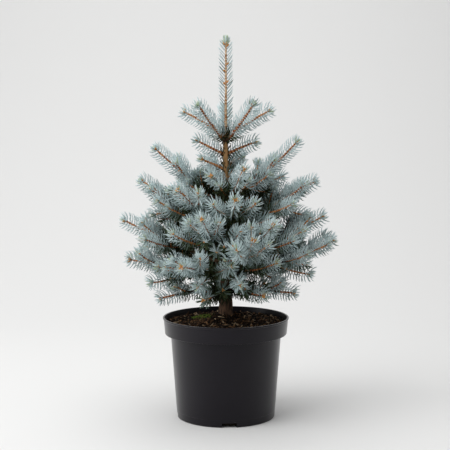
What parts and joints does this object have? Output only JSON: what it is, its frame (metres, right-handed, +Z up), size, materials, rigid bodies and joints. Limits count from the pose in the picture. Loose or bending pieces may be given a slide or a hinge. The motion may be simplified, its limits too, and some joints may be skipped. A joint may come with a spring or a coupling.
{
  "type": "potted blue spruce",
  "caption": "Young blue spruce with a straight leader and tiers of spreading needled boughs, in a round black nursery pot filled with compost.",
  "frame": {"origin": "centre of the pot's flat underside, on the ground", "axes": "+Z up along the trunk, -Y towards the front, +X to the right seen from the front"},
  "size_m": [0.4881, 0.4416, 0.841],
  "materials": {
    "pot_plastic": "matte",
    "compost": "matte",
    "bark": "matte",
    "needles": "matte"
  },
  "bodies": {
    "root": {"pot": "pot_plastic", "soil": "compost", "trunk": "bark", "leader_foliage": "needles", "top_foliage_1": "needles", "top_foliage_2": "needles", "top_foliage_3": "needles", "top_foliage_4": "needles", "top_foliage_5": "needles", "upper_foliage_1": "needles", "upper_foliage_2": "needles", "upper_foliage_3": "needles", "upper_foliage_4": "needles", "upper_foliage_5": "needles", "high_foliage_1": "needles", "high_foliage_2": "needles", "high_foliage_3": "needles", "high_foliage_4": "needles", "high_foliage_5": "needles", "middle_bough_1": "bark", "middle_foliage_1": "needles", "middle_bough_2": "bark", "middle_foliage_2": "needles", "middle_bough_3": "bark", "middle_foliage_3": "needles", "middle_bough_4": "bark", "middle_foliage_4": "needles", "middle_bough_5": "bark", "middle_foliage_5": "needles", "middle_bough_6": "bark", "middle_foliage_6": "needles", "low_bough_1": "bark", "low_foliage_1": "needles", "low_bough_2": "bark", "low_foliage_2": "needles", "low_bough_3": "bark", "low_foliage_3": "needles", "low_bough_4": "bark", "low_foliage_4": "needles", "low_bough_5": "bark", "low_foliage_5": "needles", "low_bough_6": "bark", "low_foliage_6": "needles", "lowest_bough_1": "bark", "lowest_foliage_1": "needles", "lowest_bough_2": "bark", "lowest_foliage_2": "needles", "lowest_bough_3": "bark", "lowest_foliage_3": "needles", "lowest_bough_4": "bark", "lowest_foliage_4": "needles", "lowest_bough_5": "bark", "lowest_foliage_5": "needles", "lowest_bough_6": "bark", "lowest_foliage_6": "needles", "skirt_foliage_1": "needles", "skirt_foliage_2": "needles", "skirt_foliage_3": "needles", "skirt_foliage_4": "needles", "skirt_foliage_5": "needles"}
  },
  "joints": []
}
